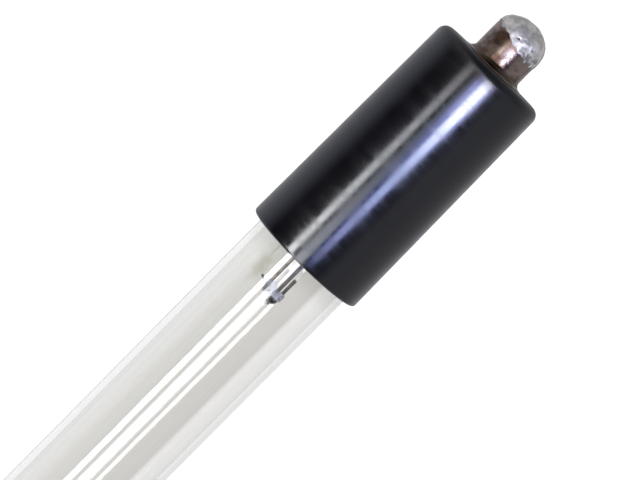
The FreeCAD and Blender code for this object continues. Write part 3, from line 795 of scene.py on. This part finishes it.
def quartz_tube(material):
    """The tube with the pinch seal at each end: an outer and an inner skin, each closed."""
    round_end = FACE_PLACE - PINCH_ROOT - PRESS_LENGTH
    middle = np.linspace(-round_end, round_end, TUBE_STEPS + 1)
    points, faces = [], []
    bore = GLASS_RADIUS - GLASS_WALL
    bore_width = PINCH_WIDTH - 2 * GLASS_WALL
    outer_end = glass_end(GLASS_RADIUS, PINCH_WIDTH, PINCH_THICKNESS, -PINCH_END, PINCH_EDGE)
    bore_end = glass_end(bore, bore_width, BORE_THICKNESS, -PINCH_ROOT, BORE_EDGE)
    for radius, end_rings, outside in ((GLASS_RADIUS, outer_end, True), (bore, bore_end, False)):
        rings = [(-(FACE_PLACE + x), length, r) for x, length, r in reversed(end_rings)]
        rings += [(x, 0.0, radius) for x in middle]
        rings += [(FACE_PLACE + x, length, r) for x, length, r in end_rings]
        first = len(points)
        for x, length, r in rings:
            ys, zs = oval(length, r)
            points += list(zip(np.full(GLASS_SIDES, x), ys, zs))
        skin = []
        for row in range(len(rings) - 1):
            below = first + row * GLASS_SIDES
            above = below + GLASS_SIDES
            for side in range(GLASS_SIDES):
                ahead = (side + 1) % GLASS_SIDES
                skin.append((below + side, below + ahead, above + ahead, above + side))
        last = first + (len(rings) - 1) * GLASS_SIDES
        skin.append(tuple(first + side for side in reversed(range(GLASS_SIDES))))
        skin.append(tuple(last + side for side in range(GLASS_SIDES)))
        faces += [tuple(reversed(face)) for face in skin] if outside else skin
    return new_piece("glass_tube", np.array(points) * MM, faces, material,
                     ["quartz_tube"], sharp=40.0, hollow=True)


WIRE_SIDES = 14
COIL_RADIUS = 0.55
COIL_WIRE = 0.15
COIL_TURNS = 5
COIL_PITCH = 0.55
TAIL_WIRE = 0.1
TAIL_STEPS = 6
TURN_STEPS = 26
# Steps over which the coating grows to its full thickness, how uneven it is, and how many
# lumps it has to a step.
COATING_STEPS = 12
COATING_LUMPS = 0.22
LUMPS_PER_STEP = 0.35
# The cut end of the tail: the direction in which it stands up, and its wire's radius at
# places along it.
CUT_TAIL = (0.33, 0.12, 0.56)
CUT_TAIL_WIRE = ((0.5, TAIL_WIRE), (1.0, 0.12), (2.0, 0.15), (3.0, 0.17))


def electrode_coil(end, material):
    """The coil of coated wire across the tube. The coating is thick and uneven on the
    turns, and the bare tails run straight into the hooks. One of them stands up past its
    hook, where it was cut off."""
    low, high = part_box(f"electrode_coil_{end}")
    facing = 1 if end == "a" else -1
    tail_x = (high.x if end == "a" else low.x) / MM - facing * COIL_WIRE
    centre_x = tail_x - facing * COIL_RADIUS
    centre_z = (low.z + high.z) / 2 / MM
    reach = high.y / MM
    half = COIL_TURNS * COIL_PITCH / 2
    steps = COIL_TURNS * TURN_STEPS
    path = [(tail_x, -reach + (reach - half) * step / TAIL_STEPS, centre_z, TAIL_WIRE)
            for step in range(TAIL_STEPS)]
    for step in range(steps + 1):
        turn = 2 * math.pi * step / TURN_STEPS
        coated = min(1.0, step / COATING_STEPS, (steps - step) / COATING_STEPS)
        lump = 1 + COATING_LUMPS * noise.noise(Vector((LUMPS_PER_STEP * step, 3.0, 0.0)))
        path.append((centre_x + facing * COIL_RADIUS * math.cos(turn),
                     -half + 2 * half * step / steps,
                     centre_z + COIL_RADIUS * math.sin(turn),
                     TAIL_WIRE + (COIL_WIRE * lump - TAIL_WIRE) * coated))
    path += [(tail_x, half + (reach - half) * step / TAIL_STEPS, centre_z, TAIL_WIRE)
             for step in range(1, TAIL_STEPS + 1)]
    inward, aside, up = CUT_TAIL
    path += [(tail_x + facing * inward * s, reach + aside * s, centre_z + up * s, radius)
             for s, radius in CUT_TAIL_WIRE]
    spine = np.array(path)
    points, faces = tube_along(spine[:, :3], spine[:, 3], WIRE_SIDES)
    return new_piece(f"coil_{end}", points * MM, faces, material,
                     [f"electrode_coil_{end}"], sharp=70.0)


def tube_along(spine, radii, sides):
    """Points and faces of a closed wire along a spine. Each ring stands square to the
    spine, and turns no more than it has to from one to the next."""
    ahead = np.gradient(spine, axis=0)
    ahead /= np.linalg.norm(ahead, axis=1)[:, None]
    aside = np.cross(ahead[0], (0.0, 0.0, 1.0))
    points = []
    angles = np.linspace(0.0, 2 * math.pi, sides, endpoint=False)
    for centre, direction, radius in zip(spine, ahead, radii):
        aside = aside - direction * aside.dot(direction)
        aside /= np.linalg.norm(aside)
        over = np.cross(direction, aside)
        points += [centre + radius * (math.cos(a) * aside + math.sin(a) * over) for a in angles]
    faces = []
    for row in range(len(spine) - 1):
        for side in range(sides):
            near, far = row * sides, (row + 1) * sides
            beside = (side + 1) % sides
            faces.append((near + side, near + beside, far + beside, far + side))
    faces.append(tuple(reversed(range(sides))))
    faces.append(tuple((len(spine) - 1) * sides + side for side in range(sides)))
    return np.array(points), faces


# Studio. The floor's sizes are in metres, from the axis of the lamp.
FLOOR_DEPTH = 0.12
FLOOR_SIZE = 12.0


def floor(material):
    """A plain floor under the object. Mirrors and glass see the surroundings instead."""
    mesh = bpy.data.meshes.new("floor")
    half = FLOOR_SIZE / 2
    mesh.from_pydata([(-half, -half, -FLOOR_DEPTH), (half, -half, -FLOOR_DEPTH),
                      (half, half, -FLOOR_DEPTH), (-half, half, -FLOOR_DEPTH)],
                     [], [(0, 1, 2, 3)])
    mesh.materials.append(material)
    plate = bpy.data.objects.new("floor", mesh)
    bpy.context.scene.collection.objects.link(plate)
    plate.visible_glossy = False
    plate.visible_transmission = False


# How bright the paper is for the camera by itself.
PAPER_GLOW = 0.6


def white_paper():
    """Matt white paper. The camera sees it as white, with the object's shadow on it. From
    below it can be seen through."""
    material, tree, shader, place = new_material("white_paper")
    fibres = mottle(tree, place, 0.02, 0.02, detail=3.0)
    colour = shaded(tree, fibres, linear("#f4f4f4"), linear("#fbfbfb"))
    ray = add(tree, "ShaderNodeLightPath")
    glow = add(tree, "ShaderNodeMath", (ray.outputs["Is Camera Ray"], PAPER_GLOW),
               operation="MULTIPLY")
    feed(tree, shader, {"Base Color": colour, "Roughness": 0.9, "Specular IOR Level": 0.0,
                        "Emission Color": linear("#ffffff"), "Emission Strength": glow})
    side = add(tree, "ShaderNodeNewGeometry").outputs["Backfacing"]
    clear = add(tree, "ShaderNodeBsdfTransparent")
    chosen = add(tree, "ShaderNodeMixShader", (side, shader, clear))
    feed(tree, tree.nodes["Material Output"], {"Surface": chosen})
    return material


AMBIENT = 0.5
# What polished surfaces mirror, by the angle around the lamp's axis: white paper behind
# and above, a grey table in front, and the dark side of the studio between them.
MIRRORED = (
    (-180.0, (0.58, 0.58, 0.60)),
    (-110.0, (0.56, 0.57, 0.60)),
    (-94.0, (0.49, 0.49, 0.52)),
    (-50.0, (0.43, 0.44, 0.47)),
    (-24.0, (0.44, 0.45, 0.48)),
    (-12.0, (0.10, 0.10, 0.11)),
    (60.0, (0.07, 0.07, 0.07)),
    (100.0, (0.01, 0.01, 0.012)),
    (114.0, (0.28, 0.28, 0.36)),
    (125.0, (0.52, 0.55, 0.66)),
    (147.0, (0.62, 0.65, 0.76)),
    (180.0, (0.58, 0.58, 0.60)),
)
# What is seen straight through the glass: white paper, and a faintly grey one right
# behind the lamp.
SEEN_THROUGH = (
    (-180.0, (1.0, 1.0, 1.0)),
    (-160.5, (1.0, 1.0, 1.0)),
    (-158.0, (0.87, 0.87, 0.865)),
    (-152.0, (0.84, 0.835, 0.82)),
    (-148.9, (0.77, 0.755, 0.745)),
    (-148.5, (1.0, 1.0, 1.0)),
    (180.0, (1.0, 1.0, 1.0)),
)
# What the wall of the tube throws back from inside the glass along its two outlines.
AROUND_THE_WALL = (
    (-180.0, (1.05, 1.05, 1.05)),
    (-165.0, (1.25, 1.25, 1.25)),
    (-150.0, (1.2, 1.2, 1.2)),
    (-136.0, (0.85, 0.85, 0.85)),
    (-108.0, (0.97, 0.97, 0.97)),
    (-70.0, (0.5, 0.5, 0.5)),
    (-20.0, (0.3, 0.3, 0.3)),
    (98.0, (0.3, 0.3, 0.3)),
    (150.0, (0.97, 0.97, 0.97)),
    (180.0, (1.05, 1.05, 1.05)),
)
# Ray depths are whole numbers. Above the first of these a ray has met such a surface at
# least once, and below the second it has gone through a surface of glass twice at most.
ONCE = 0.5
IN_AND_OUT = 2.5


def surroundings():
    """What lies around the object. The camera has white all round."""
    world = bpy.data.worlds.new("studio")
    world.use_nodes = True
    bpy.context.scene.world = world
    tree = world.node_tree
    angle = around_x(tree, add(tree, "ShaderNodeTexCoord").outputs["Generated"])
    ray = add(tree, "ShaderNodeLightPath")

    through = ray.outputs["Is Transmission Ray"]
    thrown_back = add(tree, "ShaderNodeMath", (ray.outputs["Glossy Depth"], ONCE),
                      operation="GREATER_THAN")
    unscattered = add(tree, "ShaderNodeMath", (ray.outputs["Diffuse Depth"], ONCE),
                      operation="LESS_THAN")
    not_thrown_back = add(tree, "ShaderNodeMath", (ray.outputs["Glossy Depth"], ONCE),
                          operation="LESS_THAN")
    in_and_out = add(tree, "ShaderNodeMath", (ray.outputs["Transmission Depth"], IN_AND_OUT),
                     operation="LESS_THAN")
    mirrored = add(tree, "ShaderNodeMath", (thrown_back, unscattered), operation="MULTIPLY")
    straight = add(tree, "ShaderNodeMath", (not_thrown_back, unscattered),
                   operation="MULTIPLY")
    straight = add(tree, "ShaderNodeMath", (straight, through), operation="MULTIPLY")
    in_the_wall = add(tree, "ShaderNodeMath", (thrown_back, in_and_out), operation="MULTIPLY")
    in_the_wall = add(tree, "ShaderNodeMath", (in_the_wall, through), operation="MULTIPLY")
    colour = (AMBIENT, AMBIENT, AMBIENT, 1.0)
    for share, stops in ((mirrored, MIRRORED), (in_the_wall, AROUND_THE_WALL),
                         (straight, SEEN_THROUGH)):
        colour = shaded(tree, share, colour, ramp(tree, angle, -180.0, 180.0, stops))
    colour = shaded(tree, ray.outputs["Is Camera Ray"], colour, linear("#ffffff"))
    feed(tree, tree.nodes["Background"], {"Color": colour, "Strength": 1.0})


def lit_silk(name, low, high, stops):
    """Silk with a lamp behind it. Its light changes along the card, from low to high in
    millimetres on the lamp, as stops of (place, radiance, colour)."""
    material = bpy.data.materials.new(name)
    material.use_nodes = True
    tree = material.node_tree
    place = add(tree, "ShaderNodeTexCoord").outputs["Object"]
    along = add(tree, "ShaderNodeSeparateXYZ", (place,)).outputs["X"]
    most = max(radiance for _, radiance, _ in stops)
    shades = [(where * MM, [radiance / most * part for part in linear(colour)[:3]])
              for where, radiance, colour in stops]
    shade = ramp(tree, along, low * MM, high * MM, shades)
    glow = add(tree, "ShaderNodeEmission", {"Color": shade, "Strength": most})
    back = add(tree, "ShaderNodeNewGeometry").outputs["Backfacing"]
    dark = add(tree, "ShaderNodeBsdfTransparent")
    chosen = add(tree, "ShaderNodeMixShader", (back, glow, dark))
    feed(tree, tree.nodes["Material Output"], {"Surface": chosen})
    return material


def light_card(name, near, above, widths, stops):
    """A long card of lit silk beside the object and parallel to it. near is its distance
    towards the camera's side and above how far it lies over that line, in millimetres.
    widths are those of its two ends."""
    low, high = stops[0][0], stops[-1][0]
    towards = around_lamp(CAMERA_RISE)
    over = around_lamp(CAMERA_RISE + math.pi / 2)
    middle = near * towards + above * over
    breadth = middle.normalized().cross(Vector((1, 0, 0)))
    corners = [Vector((x, 0, 0)) + middle + side * width / 2 * breadth
               for x, side, width in ((low, -1, widths[0]), (high, -1, widths[1]),
                                      (high, 1, widths[1]), (low, 1, widths[0]))]
    mesh = bpy.data.meshes.new(name)
    mesh.from_pydata([corner * MM for corner in corners], [], [(0, 1, 2, 3)])
    mesh.update()
    if mesh.polygons[0].normal.dot(middle) > 0:
        mesh.flip_normals()
    mesh.materials.append(lit_silk(name, low, high, stops))
    card = bpy.data.objects.new(name, mesh)
    bpy.context.scene.collection.objects.link(card)
    card.visible_camera = False
    card.visible_shadow = False


def lights():
    """The cards that give the bands of light along the cap, the glass and the contact.
    Where two of them overlap, the nearer one hides the other."""
    light_card("upper_card", 52.2, 22.6, (8.0, 9.8), (
        (-420.0, 19.0, "#ffffff"), (98.0, 19.0, "#ffffff"), (104.0, 15.5, "#fbfdff"),
        (120.0, 10.5, "#f6fbff"), (138.0, 4.6, "#f6f8ff"), (144.0, 2.4, "#fff8ea"),
        (165.0, 3.0, "#ffffff")))
    light_card("middle_card", 55.9, 3.85, (9.1, 13.9), (
        (-420.0, 8.0, "#ffffff"), (98.0, 8.0, "#f2f6ff"), (113.0, 4.4, "#e8efff"),
        (124.0, 2.4, "#d6e0ff"), (138.0, 2.8, "#d6e0ff"), (144.0, 0.6, "#fff4f0"),
        (165.0, 0.6, "#ffffff")))
    light_card("lower_card", 52.2, -12.2, (8.0, 15.0), (
        (99.0, 0.0, "#a4aeff"), (104.4, 4.2, "#a8b2ff"), (113.5, 14.5, "#b8c2ff"),
        (122.6, 16.0, "#bacbff"), (131.6, 29.0, "#ccd6ff"), (140.6, 52.0, "#e4e8ff"),
        (142.0, 4.0, "#f4ecff"), (147.0, 1.6, "#fff0f4"), (153.0, 1.4, "#fff0f4")))
    light_card("blue_card", 52.9, -10.2, (12.0, 30.0), (
        (99.0, 0.0, "#7f8cff"), (104.4, 1.8, "#8492ff"), (113.5, 2.3, "#8492ff"),
        (122.6, 2.7, "#8a9aff"), (131.6, 7.0, "#98a6ff"), (140.0, 20.0, "#b4baff"),
        (142.0, 0.0, "#b4baff")))
    light_card("between_card", 57.0, 15.1, (10.5, 10.5), (
        (101.0, 0.0, "#f0f4ff"), (104.0, 2.2, "#f0f4ff"), (114.0, 1.3, "#eaf0ff"),
        (122.0, 0.7, "#e4ecff"), (131.0, 0.2, "#e4ecff"), (142.0, 0.2, "#e4ecff")))
    light_card("upper_glow_card", 52.6, 27.5, (2.0, 12.0), (
        (99.0, 0.0, "#f4f6ff"), (110.0, 2.2, "#f4f6ff"), (128.0, 1.8, "#f4f6ff"),
        (140.0, 2.6, "#f0f4ff"), (142.0, 0.4, "#f0f4ff")))
    light_card("pin_card", 53.0, 9.6, (47.0, 47.0), (
        (143.0, 1.5, "#fbf0ec"), (160.0, 1.5, "#fbf0ec")))
    light_card("under_pin_card", 53.0, -22.5, (16.0, 16.0), (
        (143.0, 0.42, "#fffaf6"), (160.0, 0.42, "#fffaf6")))
    light_card("contact_card", 31.0, 51.0, (60.0, 60.0), (
        (143.0, 0.4, "#fff6f0"), (160.0, 0.5, "#fff6f0"), (200.0, 0.8, "#ffffff")))


def dress(node_name, material):
    """Gives a node of the frame its finish."""
    finishes = frame["nodes"][node_name].data.materials
    finishes.clear()
    finishes.append(material)


scene = bpy.context.scene
scene.view_settings.view_transform = "Standard"
place_camera()
floor(white_paper())
surroundings()
lights()

quartz = fused_quartz()
phenolic = moulded_phenolic()
nickel_plate = tarnished_nickel()
solder = dipped_solder()
coating = oxide_coating()
by_slot = {
    "quartz": quartz,
    "phenolic": phenolic,
    "contact_metal": nickel_plate,
    "solder": solder,
    "cement": basing_cement(),
    "zinc_steel": zinc_plated_steel(),
    "lead_wire": drawn_nickel("drawn_nickel_wire", "#6c655c", "#b8b0a5", 0.10, 0.20),
    "molybdenum": rolled_molybdenum(),
    "coated_coil": coating,
    "mercury": liquid_mercury(),
}
for part in frame["record"]["subparts"]:
    dress(part["node"], by_slot[part["material_slot"]])

sheet = pressed_nickel()
# A darker copy of the same nickel wire for the second lead: painted shade, as this lead lies
# darker than the first.
shaded_lead_wire = drawn_nickel("shaded_copy_nickel_wire", "#363431", "#65625e", 0.14, 0.26)
for lamp_end in ("a", "b"):
    dress(f"inner_lead_2_{lamp_end}", shaded_lead_wire)
    dress(f"coil_clamp_1_{lamp_end}", sheet)
    dress(f"coil_clamp_2_{lamp_end}", sheet)

quartz_tube(quartz)
for lamp_end in ("a", "b"):
    end_cap(lamp_end, phenolic)
    contact(lamp_end, nickel_plate)
    solder_tip(lamp_end, solder)
    electrode_coil(lamp_end, coating)
